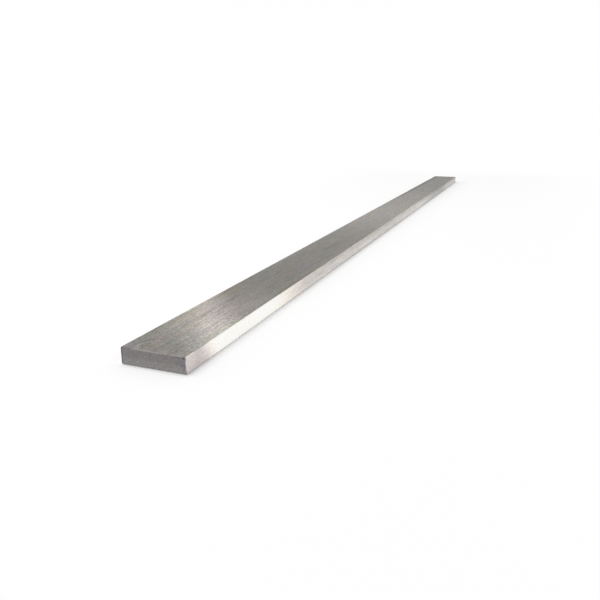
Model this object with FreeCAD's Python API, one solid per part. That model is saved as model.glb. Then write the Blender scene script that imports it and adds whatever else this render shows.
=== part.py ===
# One length of metal flat bar: a hot-rolled and pickled steel bar with small rolled corners,
# cropped to length in a bar shear. It is one piece of stock, so it is one solid.
#
# Frame: +X runs along the bar, +Y across its width and +Z up through its thickness.
# The origin is at the middle of the broad face that the bar lies on. Sizes are in millimetres.

import FreeCAD, Part
import math
import os

# The stock
length = 1000.0
width = 40.0
thickness = 10.0
rolled_corner_radius = 0.8  # left by the finishing pass along all four long edges

# The sheared ends: the blade first rounds the edge it enters by, then burnishes a land
# square to the bar, and the rest of the thickness tears away at a slight slope.
die_roll_reach = 1.5  # how far the rounding runs back along the broad face
die_roll_height = 0.8  # how far it climbs up the end
land_height = 3.4  # the burnished band above the rounding
tear_setback = 0.35  # how far the torn band has fallen back at the far edge
end_corner_radius = 0.4  # the four upright corners of the cut ends

# Spare material that the cutting profiles have beyond the bar on every side
cutting_margin = 5.0

up = FreeCAD.Vector(0, 0, 1)
along = FreeCAD.Vector(1, 0, 0)
across = FreeCAD.Vector(0, 1, 0)


def rounded_rectangle(low, high, radius, place):
    """A closed face: a rectangle from corner low to corner high with its four corners rounded.

    place turns the profile's own two coordinates into a point in space.
    """
    (a0, b0), (a1, b1) = low, high
    half_diagonal = radius * (1 - math.sqrt(0.5))
    corners = [
        # first tangent point, middle of the arc, second tangent point
        ((a1 - radius, b0), (a1 - half_diagonal, b0 + half_diagonal), (a1, b0 + radius)),
        ((a1, b1 - radius), (a1 - half_diagonal, b1 - half_diagonal), (a1 - radius, b1)),
        ((a0 + radius, b1), (a0 + half_diagonal, b1 - half_diagonal), (a0, b1 - radius)),
        ((a0, b0 + radius), (a0 + half_diagonal, b0 + half_diagonal), (a0 + radius, b0)),
    ]
    edges = []
    for corner, following in zip(corners, corners[1:] + corners[:1]):
        start, middle, end = (place(*point) for point in corner)
        edges.append(Part.Arc(start, middle, end).toShape())
        edges.append(Part.LineSegment(end, place(*following[0])).toShape())
    return Part.Face(Part.Wire(edges))


def rolled_stock():
    """The bar as it leaves the rolls: its section carried along the whole length."""
    section = rounded_rectangle(
        (-width / 2, 0),
        (width / 2, thickness),
        rolled_corner_radius,
        lambda y, z: FreeCAD.Vector(-length / 2, y, z),
    )
    return section.extrude(along * length)


def turned_end_for_end(point):
    """The same point of the other end: the two cuts are a half turn about Y apart."""
    return FreeCAD.Vector(-point.x, point.y, thickness - point.z)


def near_end_points():
    """The corners of the cut at the -X end, seen from the side, from the floor upwards."""
    face_y = -width / 2 - cutting_margin
    end = -length / 2
    return [
        FreeCAD.Vector(end + die_roll_reach, face_y, 0),
        FreeCAD.Vector(end, face_y, die_roll_height),
        FreeCAD.Vector(end, face_y, die_roll_height + land_height),
        FreeCAD.Vector(end + tear_setback, face_y, thickness),
    ]


def die_roll(start, end):
    """A quarter of an ellipse that leaves the broad face at start and meets the land at end."""
    curve = Part.BezierCurve()
    curve.setPoles([start, FreeCAD.Vector(end.x, start.y, start.z), end])
    curve.setWeight(2, math.sqrt(0.5))
    return curve.toShape()


def shear_profile():
    """The bar's outline from the side, with both cut ends, as a solid wider than the bar."""
    near = near_end_points()
    far = [turned_end_for_end(point) for point in near]
    edges = []
    for points, other in ((near, far), (far, near)):
        roll_start, land_start, land_end, torn_edge = points
        edges.append(die_roll(roll_start, land_start))
        edges.append(Part.LineSegment(land_start, land_end).toShape())
        edges.append(Part.LineSegment(land_end, torn_edge).toShape())
        edges.append(Part.LineSegment(torn_edge, other[0]).toShape())
    outline = Part.Wire(Part.__sortEdges__(edges))
    return Part.Face(outline).extrude(across * (width + 2 * cutting_margin))


def plan_profile():
    """The bar's outline from above, with its upright end corners rounded, as a tall solid."""
    outline = rounded_rectangle(
        (-length / 2, -width / 2),
        (length / 2, width / 2),
        end_corner_radius,
        lambda x, y: FreeCAD.Vector(x, y, -cutting_margin),
    )
    return outline.extrude(up * (thickness + 2 * cutting_margin))


def flat_bar():
    """The finished bar: rolled stock, kept only where both cutting profiles allow it."""
    return rolled_stock().common(shear_profile()).common(plan_profile())


def export(shape, node):
    """Writes one node's solid, after making sure that it is a single closed one."""
    solid = shape.Solids[0]
    assert len(shape.Solids) == 1 and solid.isValid(), node
    solid.exportStep(os.path.join("parts", node + ".step"))
    box = solid.BoundBox
    print(node, "volume %.1f mm3" % solid.Volume, "faces", len(solid.Faces))
    print("box", box.XMin, box.YMin, box.ZMin, "to", box.XMax, box.YMax, box.ZMax)


os.makedirs("parts", exist_ok=True)
export(flat_bar(), "flat_bar")
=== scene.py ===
import math

import bmesh
import bpy
import numpy as np
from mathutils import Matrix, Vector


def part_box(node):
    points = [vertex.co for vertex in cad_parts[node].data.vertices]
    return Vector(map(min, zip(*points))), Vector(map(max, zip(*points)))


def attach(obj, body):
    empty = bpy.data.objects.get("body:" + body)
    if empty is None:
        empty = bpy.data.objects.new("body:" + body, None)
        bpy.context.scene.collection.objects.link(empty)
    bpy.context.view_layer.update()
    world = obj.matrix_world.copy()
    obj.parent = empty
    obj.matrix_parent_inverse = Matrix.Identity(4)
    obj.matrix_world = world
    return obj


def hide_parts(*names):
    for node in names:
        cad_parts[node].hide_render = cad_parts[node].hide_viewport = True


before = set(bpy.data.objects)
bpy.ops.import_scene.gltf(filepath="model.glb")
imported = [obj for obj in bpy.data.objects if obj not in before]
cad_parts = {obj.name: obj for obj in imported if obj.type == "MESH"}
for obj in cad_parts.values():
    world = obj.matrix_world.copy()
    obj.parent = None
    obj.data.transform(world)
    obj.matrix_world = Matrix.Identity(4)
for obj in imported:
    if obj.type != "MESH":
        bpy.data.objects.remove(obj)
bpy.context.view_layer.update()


# The rolled bar. It is steel, hot rolled flat, annealed and pickled, and sent once more through
# finishing rolls, which leave four small rounded corners and a fine lengthwise grain. Its outline
# is carried along the bar in rings, and smaller rings close over both cut ends.
low, high = (np.array(corner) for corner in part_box("flat_bar"))
length, width, thickness = high - low
centre = (low + high) / 2
rolled_corner_radius = 0.0008
steps_up, steps_across, steps_round = 36, 156, 8


def outline():
    """One turn round the bar's outline: corner shares of shape (n, 2) and an angle of shape (n).

    It runs anticlockwise as seen from +X, as four straight runs with a quarter circle after each.
    Along a run the share goes evenly from one corner to the next and the angle stays. Round a
    quarter circle the share stays at that corner and the angle goes evenly through 90 degrees.
    """
    corners = np.array([(1, -1), (1, 1), (-1, 1), (-1, -1), (1, -1)], float)
    shares, angles = [], []
    for quarter in range(4):
        steps = steps_across if quarter % 2 else steps_up
        along_run = np.linspace(0, 1, steps, endpoint=False)[:, None]
        shares.append(corners[quarter] + (corners[quarter + 1] - corners[quarter]) * along_run)
        angles.append(np.full(steps, quarter * math.pi / 2))
        shares.append(np.tile(corners[quarter + 1], (steps_round, 1)))
        angles.append((quarter + np.linspace(0, 1, steps_round, endpoint=False)) * math.pi / 2)
    return np.concatenate(shares), np.concatenate(angles)


def section(inset):
    """Points (y, z) of the outline shrunk inwards by each inset, shape (insets, n, 2).

    A point is the corner's centre times the share, plus the corner radius times (cosine, sine) of
    the angle. The radius shrinks in step with the ring, down to the line along the middle.
    """
    shares, angles = outline()
    inset = np.asarray(inset)[:, None, None]
    radius = rolled_corner_radius * (1 - inset / (thickness / 2))
    half = np.array([width / 2, thickness / 2]) - inset
    round_part = np.stack([np.cos(angles), np.sin(angles)], -1)
    return centre[1:] + (half - radius) * shares + radius * round_part


def ripple(points, wavelength, seed, waves=28):
    """A smooth random height, about -1 to 1, at points of shape (..., dimensions).

    It is the sum of sine waves in random directions, divided by the root of half their number.
    Their lengths lie near the given wavelength, which may differ along each axis.
    """
    slower = 0.6  # makes up for random directions that are longer than 1 on the whole
    random = np.random.default_rng(seed)
    turns = random.normal(size=(waves, points.shape[-1])) / np.asarray(wavelength)
    start = random.uniform(0, 2 * math.pi, waves)
    height = np.zeros(points.shape[:-1])
    for turn, phase in zip(turns, start):
        height += np.sin(2 * math.pi * (points @ turn) * slower + phase)
    return height * math.sqrt(2 / waves)


# The sheared ends. The shear's blade rounds the edge that it enters by, burnishes a land square to
# the bar, and the rest of the thickness tears away rough and slightly sloping, with a thin burr.
# The blade came from below at the near end and from above at the far one.
die_roll_reach, die_roll_height = 0.0015, 0.0008
land_height, land_waviness = 0.0034, 0.00035
score_depth = 0.000012
tear_setback = 0.00035
fine_tear, coarse_tear = 0.00005, 0.00006
end_corner_radius = 0.0004
burr_height, burr_width = 0.00022, 0.00028


def quarter_ellipse(distance, across, along):
    """How far a rounded edge lies back at a distance from the face beside it: along times
    (1 - the root of (1 - the squared share of the way that is left))."""
    left = np.clip(1 - distance / across, 0, 1)
    return along * (1 - np.sqrt(np.clip(1 - left**2, 0, 1)))


def cut_setback(points, seed):
    """How far a cut end lies back from the end of the bar's box, at points (y, height above the
    blade's side). It is the largest of the rounding, the tear and the upright corners."""
    y, height = points[..., 0], points[..., 1]
    lane = np.stack([y, np.zeros_like(y)], -1)
    land_top = die_roll_height + land_height + land_waviness * ripple(lane, 0.006, seed)
    tear = np.clip((height - land_top) / (thickness - land_top), 0, 1)
    setback = quarter_ellipse(height, die_roll_height, die_roll_reach)
    setback = np.maximum(setback, tear_setback * tear)
    upright = quarter_ellipse(width / 2 - np.abs(y), end_corner_radius, end_corner_radius)
    setback = np.maximum(setback, upright)

    # The burnished land has fine upright scores, and the torn band is coarse and uneven
    scores = score_depth * (1 + ripple(points, (0.0005, 0.012), seed + 1))
    torn = fine_tear * (1.2 + ripple(points, (0.0011, 0.0016), seed + 2))
    torn += coarse_tear * (1.2 + ripple(points, (0.0045, 0.0035), seed + 3))
    is_torn = np.clip(tear / 0.08, 0, 1)
    setback = setback + scores * (1 - is_torn) + torn * is_torn

    # The burr stands out from the torn edge, more in some places than in others
    rim = np.clip(1 - (thickness - height) / burr_width, 0, 1)
    lip = burr_height * rim**2 * np.clip(0.75 + 0.4 * ripple(lane, 0.004, seed + 4), 0.15, 1)
    return np.maximum(setback - lip, 0)


def hollows(points, places):
    """The summed depth of round hollows at points: each is its depth times the square of
    (1 - the squared share of its radius), and nothing outside that radius.

    places holds one row for each hollow: its centre, its radius and its depth.
    """
    depth = np.zeros(points.shape[:-1])
    for *middle, radius, deepest in places:
        share = np.sum((points - np.array(middle)) ** 2, -1) / radius**2
        depth += deepest * np.clip(1 - share, 0, 1) ** 2
    return depth


# Pits in each torn band, as (y, height above the blade's side, radius, depth): a chip out of the
# burr by one corner, and a few smaller ones
near_pits = [
    (-0.0182, 0.0088, 0.0007, 0.0004),
    (-0.0170, 0.0065, 0.0005, 0.0002),
    (-0.0170, 0.0048, 0.0005, 0.0002),
    (-0.0125, 0.0084, 0.0006, 0.0001),
    (0.0060, 0.0071, 0.0006, 0.0001),
]
far_pits = [(0.0104, 0.0079, 0.0008, 0.0002), (-0.0031, 0.0063, 0.0006, 0.0001)]

# Rings over each end, from the middle line out to the edge, close together in the rounding
rounding_rings, inner_rings = 9, 23
rounding_insets = die_roll_height * (1 - np.cos(np.linspace(0, math.pi / 2, rounding_rings)))
inner_insets = np.linspace(die_roll_height, thickness / 2, inner_rings)[1:]
insets = np.concatenate([rounding_insets, inner_insets])[::-1]
caps = section(insets)
upside_down = np.stack([caps[..., 0], thickness - caps[..., 1]], -1)
near_setback = cut_setback(caps, 11) + hollows(caps, near_pits)
far_setback = cut_setback(upside_down, 23) + hollows(upside_down, far_pits)
near_cap = np.concatenate([(low[0] + near_setback)[..., None], caps], -1)
far_cap = np.concatenate([(high[0] - far_setback)[..., None], caps], -1)[::-1]

# Rings along the bar: a close first step for a crisp edge, even steps near the ends, where small
# dents need them, and then ever longer steps to the middle
first_step, even_step = 0.0001, 0.0006
even_rings, growing_rings = 40, 29
near_rings = first_step + even_step * np.arange(even_rings)
to_middle = length / 2 - near_rings[-1]
inner_part = near_rings[-1] + np.geomspace(even_step, to_middle, growing_rings)[1:]
from_end = np.concatenate([near_rings, inner_part])
shares_along = np.concatenate([from_end / length, 1 - from_end[-2::-1] / length])[:, None, None]
rim_near, rim_far = near_cap[-1], far_cap[0]
body = rim_near + (rim_far - rim_near) * shares_along

rings = np.concatenate([near_cap, body, far_cap])
ring_count, ring_size = rings.shape[:2]

# Dents from handling, pressed into the rolled corners near both ends, towards the middle line
random = np.random.default_rng(5)
dent_count = 22
which_end, which_side, which_face = random.choice([-1, 1], (3, dent_count))
dents = np.stack([
    which_end * (length / 2 - random.uniform(0.0015, 0.022, dent_count)),
    which_side * width / 2,
    centre[2] + which_face * thickness / 2,
    random.uniform(0.0006, 0.0014, dent_count),
    random.uniform(0.00008, 0.00022, dent_count),
], -1)
inwards = np.sign(centre[1:] - rings[..., 1:]) * math.sqrt(0.5)
rings[..., 1:] += inwards * hollows(rings, dents)[..., None]
points = rings.reshape(-1, 3)

index = np.arange(ring_count * ring_size).reshape(ring_count, ring_size)
beside = np.roll(index, -1, 1)
quads = np.stack([index[:-1], beside[:-1], beside[1:], index[1:]], -1).reshape(-1, 4)
mesh = bpy.data.meshes.new("flat_bar_stock")
mesh.from_pydata(points, [], quads)

# How much of each point's finish is that of a narrow face, how much is that of a cut end, and how
# far it lies above the side that the blade came from
angles = outline()[1]
narrow_share = np.tile(np.cos(angles) ** 2, ring_count)
cut_share = np.zeros((ring_count, ring_size))
cut_share[: len(near_cap)] = 1
cut_share[-len(far_cap):] = 1
above_blade = rings[..., 2].copy()
above_blade[ring_count // 2:] = thickness - above_blade[ring_count // 2:]
for name, values in (
    ("narrow_face", narrow_share),
    ("cut_end", cut_share.ravel()),
    ("above_blade", above_blade.ravel()),
):
    mesh.attributes.new(name, "FLOAT", "POINT").data.foreach_set("value", values.astype("f"))

# The two middle lines close when their doubled points are merged
welded = bmesh.new()
welded.from_mesh(mesh)
bmesh.ops.remove_doubles(welded, verts=welded.verts, dist=1e-7)
welded.to_mesh(mesh)
welded.free()
mesh.shade_smooth()
mesh.set_sharp_from_angle(angle=math.radians(35))
bar = bpy.data.objects.new("flat_bar_stock", mesh)
bpy.context.scene.collection.objects.link(bar)
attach(bar, "root")
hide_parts("flat_bar")


# The finish. Annealing and pickling leave bare grey steel: dull and lengthwise grained on the
# broad faces, brighter on the narrow ones, partly as the edging rolls pressed them and partly as
# painted sheen, and darker and rougher where the ends were sheared. Painted highlights,
# reflections and shade stand in for light in places along the bar.
steel = bpy.data.materials.new("pickled_steel")
steel.use_nodes = True
nodes, links = steel.node_tree.nodes, steel.node_tree.links
nodes.clear()


def add(kind, *inputs, **settings):
    """A node of the material in hand. Each input is a value, a socket to link, or None, which
    leaves it as it is."""
    node = nodes.new("ShaderNode" + kind)
    for name, value in settings.items():
        setattr(node, name, value)
    for socket, value in zip(node.inputs, inputs):
        if isinstance(value, bpy.types.NodeSocket):
            links.new(value, socket)
        elif value is not None:
            socket.default_value = value
    return node


def calc(operation, *inputs):
    """The result of one sum on numbers."""
    return add("Math", *inputs, operation=operation).outputs[0]


def vector(operation, *inputs):
    """The result of one sum on vectors."""
    return add("VectorMath", *inputs, operation=operation).outputs[0]


def pattern(size, detail=2.0, roughness=0.5, offset=(0, 0, 0)):
    """A noise from 0 to 1 with features of the given size in metres along X, Y and Z."""
    noise_scale_and_painted_shade = [1 / side for side in size]
    placed = add("Mapping", place, offset, None, noise_scale_and_painted_shade).outputs[0]
    noise = add("TexNoise", placed, None, 1.0, detail, roughness)
    return noise.outputs[0]


def share_of(value, start, end):
    """0 at start or before it, 1 at end or past it, and a smooth climb between."""
    climb = add("MapRange", value, start, end, 0.0, 1.0, interpolation_type="SMOOTHSTEP")
    return climb.outputs[0]


def blend(share, first, second):
    """A number that goes from first to second as the share goes from 0 to 1."""
    return add("Mix", share, None, first, second, data_type="FLOAT").outputs[0]


def carried_on(operation, parts):
    """One sum carried on through all the parts in turn."""
    result = parts[0]
    for part in parts[1:]:
        result = calc(operation, result, part)
    return result


def total(*parts):
    """All the parts added up."""
    return carried_on("ADD", parts)


def product(*parts):
    """All the parts multiplied."""
    return carried_on("MULTIPLY", parts)


def largest(*parts):
    """The largest of the parts."""
    return carried_on("MAXIMUM", parts)


def swing(noise, amount):
    """A pattern made to swing about 0, by its distance from one half times the amount."""
    return product(calc("SUBTRACT", noise, 0.5), amount)


def hump(value, middle, reach):
    """1 where the value is at the middle, and 0 from the reach outwards on both sides."""
    return share_of(calc("ABSOLUTE", calc("SUBTRACT", value, middle)), reach, 0.0)


def reaches_to(middle, reach, at):
    """How far it is to a middle (from the near end, across, height), counted in reaches.

    It is the length of the way there, after each of its X, Y and Z is divided by its own reach.
    """
    there = (low[0] + middle[0], middle[1], middle[2])
    way = vector("DIVIDE", vector("SUBTRACT", at, there), reach)
    return add("VectorMath", way, operation="LENGTH").outputs["Value"]


def spot(at, middle, reach):
    """1 at a point (from the near end, across, height) and 0 beyond its reach along X, Y and Z."""
    return share_of(reaches_to(middle, reach, at), 1.0, 0.0)


place = add("TexCoord").outputs["Object"]
along, across, height = add("SeparateXYZ", place).outputs
from_near = calc("SUBTRACT", along, low[0])
from_middle = calc("ABSOLUTE", across)
is_narrow = add("Attribute", attribute_name="narrow_face").outputs["Fac"]
is_cut = add("Attribute", attribute_name="cut_end").outputs["Fac"]
above_blade = add("Attribute", attribute_name="above_blade").outputs["Fac"]
not_cut = calc("SUBTRACT", 1.0, is_cut)

speckle = pattern((0.0024, 0.0010, 0.0010), 2, 0.9)
flecks = pattern((0.0120, 0.0030, 0.0030), 2, 0.9, (2, 5, 4))
streaks = pattern((0.016, 0.0012, 0.0012), 4, 0.65)
long_streaks = pattern((0.09, 0.0024, 0.0024), 3, 0.5, (0, 0.3, 0.1))
mottle = pattern((0.030, 0.010, 0.010), 5, 0.7)
hairlines = pattern((0.05, 0.0003, 0.0003), 1, 0.5, (0, 0.7, 0.4))
pits = pattern((0.0013, 0.0009, 0.0009), 1, 0.5, (5, 2, 1))
redness = pattern((0.045, 0.010, 0.010), 1, 0.5, (3, 1, 2))
yellowness = pattern((0.040, 0.008, 0.008), 1, 0.5, (7, 4, 3))

# How light the broad faces are. The pale band, partly a scuff and partly a painted reflection,
# crosses them at a slant near the near end.
scuff_and_sheen_slant = 1.1
across_scuff_and_sheen = calc("SUBTRACT", from_near, product(across, scuff_and_sheen_slant))
across_scuff_and_sheen = total(across_scuff_and_sheen, swing(mottle, 0.03))
in_scuff_and_sheen = hump(across_scuff_and_sheen, 0.054, 0.043)
broad_light = total(
    0.214,
    # lighter towards the near end, and half way along: part tone, part painted reflection
    product(0.062, share_of(from_near, 0.12, 0.02)),
    product(0.135, share_of(from_near, 0.27, 0.50), share_of(from_near, 0.90, 0.50)),
    # the pale band, part scuff and part painted reflection: weaker on its +Y half, stronger on
    # the other, and with a tail behind
    product(0.270, in_scuff_and_sheen),
    product(-0.075, share_of(across, -0.005, 0.014), hump(from_near, 0.060, 0.030)),
    product(0.070, share_of(across, -0.004, -0.014), hump(from_near, 0.052, 0.018)),
    product(0.085, hump(from_near, 0.087, 0.06)),
    # paler beside both sides for a stretch, and darker beside the +Y one towards the far end
    product(0.040, share_of(from_middle, 0.0140, 0.0185), hump(from_near, 0.25, 0.12)),
    product(-0.140, share_of(across, 0.0125, 0.0180), share_of(from_near, 0.54, 0.74)),
)

# How light the narrow faces are. They are lighter than the broad ones, partly as pressed steel and
# partly as painted sheen, and a painted reflection makes them all but white where the pale band
# reaches them, from a line that slants too.
slant_of_start = 0.7
bright_start = total(from_near, product(slant_of_start, calc("SUBTRACT", height, centre[2])))
narrow_light = total(
    0.585,
    # the first centimetres: a painted highlight at the very end and along the upper corner, duller
    # just behind the end, and painted shade low down
    product(0.03, share_of(from_near, 0.030, 0.0)),
    product(0.14, share_of(height, 0.0086, 0.0096), share_of(from_near, 0.014, 0.004)),
    product(-0.05, hump(from_near, 0.011, 0.009)),
    product(-0.07, share_of(height, 0.0045, 0.0015), share_of(from_near, 0.032, 0.020)),
    # the all but white stretch, a painted reflection
    product(0.44, share_of(bright_start, 0.014, 0.034), share_of(from_near, 0.18, 0.10)),
    # duller in the far half, with painted shade from 60 to 80 cm along, up to a lighter stretch
    # at the far end that is a painted highlight
    product(-0.03, share_of(from_near, 0.30, 0.45)),
    product(0.03, hump(from_near, 0.60, 0.15)),
    product(-0.25, share_of(from_near, 0.60, 0.80)),
    product(0.14, share_of(from_near, 0.82, 0.89)),
    # duller beside the upper face past the white stretch
    product(-0.12, share_of(height, 0.0045, 0.0090), share_of(from_near, 0.16, 0.24)),
)

# How light the cut ends are. The painted highlight along the burr stops short of the +Y side.
on_land = share_of(above_blade, 0.0052, 0.0036)
burr_reach = share_of(across, 0.0145, 0.0125)
cut_light = total(
    0.236,
    # lighter on the burnished land, most of all low on it, and a painted highlight along the burr
    product(0.008, on_land),
    product(0.015, hump(above_blade, 0.0014, 0.0010)),
    product(0.130, share_of(above_blade, 0.0088, 0.0096), burr_reach),
    # a painted highlight on the upright corner of the -Y side, and duller just inside it
    product(0.420, share_of(across, -0.0193, -0.0199), share_of(height, 0.0005, 0.0050)),
    product(-0.035, hump(across, -0.0185, 0.0008)),
)

# Grain, specks and mottling make each spot a little lighter or darker, least on the narrow faces
# near the near end
rolled = total(
    1.0,
    swing(speckle, 2.1),
    swing(flecks, 0.60),
    product(swing(streaks, 0.80), blend(in_scuff_and_sheen, 1.0, 1.4)),
    swing(long_streaks, 0.35),
    swing(mottle, 0.45),
    product(0.14, share_of(hairlines, 0.62, 0.72)),
    product(-0.30, share_of(pits, 0.66, 0.74)),
)
lengthwise = total(swing(streaks, 0.8), swing(long_streaks, 0.5), swing(flecks, 0.4))
pressed = total(
    1.0,
    swing(speckle, 0.9),
    swing(mottle, 0.25),
    product(lengthwise, share_of(from_near, 0.10, 0.22)),
)
torn = total(1.0, swing(pits, 0.60), swing(mottle, 0.25))
sidewards = share_of(is_narrow, 0.0, 0.35)
light = product(blend(sidewards, broad_light, narrow_light), blend(sidewards, rolled, pressed))
light = blend(is_cut, light, product(cut_light, torn))

# Marks near the near end of the upper face, ragged at their edges and reaching a little below it:
# part of a stain's pale ring with a darker rim, then rub marks and stains as (from the near end,
# across, half their length, half their width, how much lighter)
below_face = 0.004
wander = add("TexNoise", place, None, 120.0, 3.0).outputs["Color"]
wander = vector("MULTIPLY", vector("SUBTRACT", wander, (0.5, 0.5, 0.5)), (0.008, 0.003, 0.0))
ragged = vector("ADD", wander, place)
ring = reaches_to((0.0060, 0.0035, thickness), (0.0090, 0.0084, below_face), ragged)
ring_left = product(share_of(across, 0.0015, 0.0060), not_cut)
marks = total(
    1.0,
    product(0.24, hump(ring, 1.00, 0.16), ring_left),
    product(-0.20, hump(ring, 1.27, 0.15), ring_left),
)
rub_marks = [
    (0.0055, 0.0058, 0.0050, 0.0016, -0.15),
    (0.0090, -0.0088, 0.0018, 0.0015, -0.20),
    (0.0135, 0.0060, 0.0045, 0.0014, -0.15),
    (0.0230, -0.0130, 0.0130, 0.0055, -0.15),
    (0.0350, 0.0105, 0.0150, 0.0085, 0.16),
    (0.0356, 0.0122, 0.0040, 0.0016, 0.14),
    (0.0420, -0.0185, 0.0170, 0.0055, 0.18),
    (0.0480, -0.0045, 0.0100, 0.0050, 0.12),
    (0.0575, 0.0012, 0.0120, 0.0018, 0.14),
    (0.0640, 0.0055, 0.0150, 0.0018, -0.16),
    (0.0700, 0.0108, 0.0130, 0.0025, 0.10),
    (0.0750, 0.0170, 0.0140, 0.0065, -0.12),
    (0.0850, -0.0177, 0.0160, 0.0014, -0.14),
    (0.0995, 0.0055, 0.0230, 0.0020, -0.20),
    (0.1080, 0.0085, 0.0080, 0.0035, -0.10),
]
for mark_along, mark_across, half_length, half_width, lighter in rub_marks:
    mark = spot(ragged, (mark_along, mark_across, thickness), (half_length, half_width, below_face))
    marks = total(marks, product(lighter, mark, not_cut))

# Marks on and beside the near cut: a painted highlight along the edge of the burr, then chips and
# bright nicks that reach a little behind it, as (across, height, half their width, half their
# height, how much lighter)
into_cut = 0.002
painted_burr_highlight = product(share_of(from_near, 0.0009, 0.0003), not_cut, burr_reach)
marks = total(marks, product(0.20, painted_burr_highlight))
cut_marks = [
    (-0.0184, 0.0088, 0.0011, 0.0006, -0.60),
    (-0.0150, 0.0086, 0.0045, 0.0006, -0.25),
    (-0.0171, 0.0064, 0.0009, 0.0006, -0.30),
    (-0.0171, 0.0046, 0.0010, 0.0006, -0.40),
    (0.0096, 0.0028, 0.0009, 0.0008, 0.60),
    (-0.0118, 0.0094, 0.0008, 0.0006, 0.50),
]
for mark_across, mark_height, half_width, half_height, lighter in cut_marks:
    mark = spot(place, (0.0, mark_across, mark_height), (into_cut, half_width, half_height))
    marks = total(marks, product(lighter, mark))
light = product(light, marks)

# One corner of the upper face is rubbed to the colour of the cut
rubbed_corner = spot(place, (0.0, width / 2, thickness), (0.0080, 0.0110, below_face))
rubbed = share_of(product(rubbed_corner, not_cut), 0.0, 0.35)
light = blend(rubbed, light, product(0.27, torn))

# Painted shade in thin dark lines, where the steel is also made dull and not metal: along the
# rolled corners of the +Y side, more faintly along the lower one of the other side and for a
# stretch just inside the corners, in the rounding of each cut, and up the near cut's +Y corner
corner_line = product(share_of(across, 0.0188, 0.0193), share_of(is_narrow, 0.6, 0.25))
inner_line = product(hump(from_middle, 0.0188, 0.0009), hump(from_near, 0.125, 0.08), 0.3)
lower_line = product(share_of(height, 0.0009, 0.0005), share_of(across, -0.0190, -0.0194), 0.4)
rolled_line = largest(corner_line, inner_line, lower_line)
rolled_line = product(rolled_line, blend(share_of(streaks, 0.40, 0.55), 0.7, 1.0))
patches = blend(share_of(mottle, 0.4, 0.6), 0.4, 0.7)
round_line = product(share_of(above_blade, 0.0007, 0.0002), patches)
upright_line = product(share_of(across, 0.0188, 0.0196), share_of(from_near, 0.5, 0.4))
cut_line = product(largest(round_line, upright_line), is_cut)
noise_scale_and_painted_shade = largest(rolled_line, cut_line)
light = product(light, blend(noise_scale_and_painted_shade, 1.0, 0.35))

# The steel's grey leans to red or green and to yellow or blue from patch to patch, and the
# pale band of scuff and painted reflection to pink
less_hue = blend(is_cut, blend(is_narrow, 1.0, 0.45), 0.5)
pink = product(0.07, spot(ragged, (0.070, -0.001, thickness), (0.050, 0.017, below_face)))
pink = total(pink, product(0.035, share_of(bright_start, 0.034, 0.016), is_narrow, not_cut))
red = total(1.07, product(swing(redness, 0.30), less_hue), pink)
blue = total(0.90, product(swing(yellowness, -0.25), less_hue), product(0.7, pink))
blue = total(blue, product(0.04, is_narrow), product(0.10, largest(is_cut, rubbed)))
hue = add("CombineXYZ", red, 1.0, blue).outputs[0]
colour = vector("MINIMUM", vector("SCALE", hue, None, None, light), (1, 1, 1))

# Bare steel is a metal all over, except in the painted shade lines. The narrow faces are the
# glossiest, the torn bands are rougher, and the painted shade lines are dull. The tint keeps
# glancing views short of white.
roughness = blend(is_cut, blend(is_narrow, 0.42, 0.30), blend(on_land, 0.55, 0.42))
roughness = blend(noise_scale_and_painted_shade, total(roughness, swing(mottle, 0.25)), 0.9)
grain = add("Bump", 0.35, 0.00002, None, streaks)
surface = add("BsdfPrincipled")
links.new(colour, surface.inputs["Base Color"])
links.new(blend(noise_scale_and_painted_shade, 1.0, 0.0), surface.inputs["Metallic"])
links.new(roughness, surface.inputs["Roughness"])
links.new(grain.outputs[0], surface.inputs["Normal"])
surface.inputs["Specular Tint"].default_value = (0.95, 0.95, 0.95, 1)
add("OutputMaterial", surface.outputs[0])
mesh.materials.append(steel)


# The floor: a wide pale sheet that the bar lies on. What the camera and reflections see of it is
# mostly its own white, and the rest is lit, so that the bar's soft shadow stays.
floor_half = 6.0
floor_mesh = bpy.data.meshes.new("floor")
corners = np.array([(-1, -1, 0), (1, -1, 0), (1, 1, 0), (-1, 1, 0)], float) * floor_half
floor_mesh.from_pydata(corners, [], [(0, 1, 2, 3)])
floor = bpy.data.objects.new("floor", floor_mesh)
bpy.context.scene.collection.objects.link(floor)
paper = bpy.data.materials.new("white_floor")
paper.use_nodes = True
nodes, links = paper.node_tree.nodes, paper.node_tree.links
nodes.clear()
lit = add("BsdfDiffuse", (0.97, 0.97, 0.97, 1))
own = add("Emission", (1, 1, 1, 1), 1.0)

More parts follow.
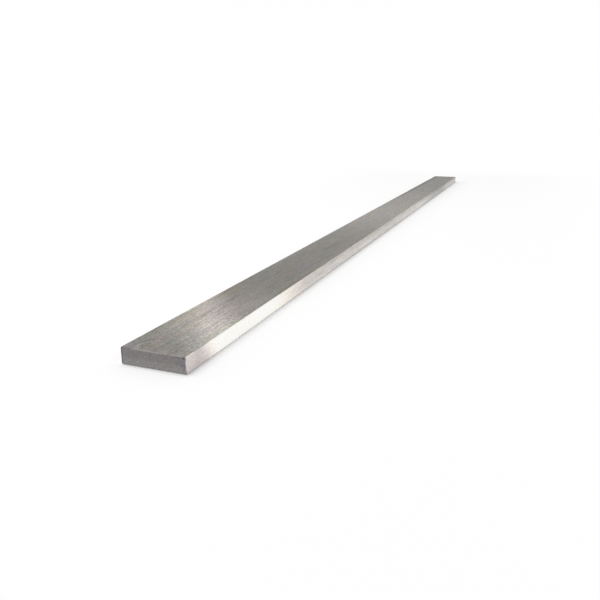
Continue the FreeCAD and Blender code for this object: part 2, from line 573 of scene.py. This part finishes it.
# The share of its own white grows with the distance from the bar, in three overlapping steps
floor_x, floor_y = add("SeparateXYZ", add("TexCoord").outputs["Object"]).outputs[:2]
past_end = calc("SUBTRACT", calc("ABSOLUTE", floor_x), length / 2)
past_side = calc("SUBTRACT", calc("ABSOLUTE", floor_y), width / 2)
away = largest(past_side, past_end)
own_share = blend(share_of(away, 0.0, 0.003), 0.05, 0.35)
own_share = blend(share_of(away, 0.0, 0.04), own_share, 0.78)
own_share = blend(share_of(away, 0.06, 0.30), own_share, 1.0)
ray = add("LightPath").outputs
reflected = largest(ray["Is Glossy Ray"], ray["Is Transmission Ray"])
own_share = largest(product(ray["Is Camera Ray"], own_share), product(reflected, 0.9))
both = add("MixShader", own_share, lit.outputs[0], own.outputs[0])
add("OutputMaterial", both.outputs[0])
floor_mesh.materials.append(paper)


# The light: a pale surround, white low down and greyer overhead, and one large soft lamp. Together
# they show a colour about as light as it is written.
world = bpy.data.worlds.new("studio")
bpy.context.scene.world = world
world.use_nodes = True
nodes, links = world.node_tree.nodes, world.node_tree.links
nodes.clear()
upward = add("SeparateXYZ", add("TexCoord").outputs["Generated"]).outputs[2]
level = add("MapRange", upward, 0.12, 0.75, 1.0, 0.50, interpolation_type="SMOOTHSTEP").outputs[0]
surround = add("Background", (1, 1, 1, 1), level)
add("OutputWorld", surround.outputs[0])


def lamp(name, hung_at, aimed_at, side, power):
    """A square area lamp at one point, turned to face another, in metres and watts."""
    glow = bpy.data.lights.new(name, "AREA")
    glow.shape, glow.size, glow.energy = "SQUARE", side, power
    holder = bpy.data.objects.new(name, glow)
    bpy.context.scene.collection.objects.link(holder)
    holder.location = hung_at
    back = np.array(hung_at, float) - np.array(aimed_at, float)
    turn = math.atan2(back[0], -back[1])
    tilt = math.acos(back[2] / np.linalg.norm(back))
    holder.rotation_euler = (tilt, 0, turn)


lamp("overhead", (-0.4, 0.5, 1.6), (-0.2, 0, 0), 1.2, 15)


# The camera, as the photograph was taken: off the bar's near end, on its -Y side and a little above
# it. Its focal length is in pixels of a picture 600 pixels wide.
camera_place = (-0.7450, -0.1777, 0.1271)
camera_down, camera_left = math.radians(16.94), math.radians(21.35)
picture_side, focal_length_px = 600, 608.6
camera = bpy.data.cameras.new("camera")
camera.sensor_width = 36
camera.lens = camera.sensor_width * focal_length_px / picture_side
camera.clip_start = 0.01
holder = bpy.data.objects.new("camera", camera)
bpy.context.scene.collection.objects.link(holder)
holder.location = camera_place
holder.rotation_euler = (math.pi / 2 - camera_down, 0, camera_left - math.pi / 2)
bpy.context.scene.camera = holder

bpy.context.scene.view_settings.view_transform = "Standard"
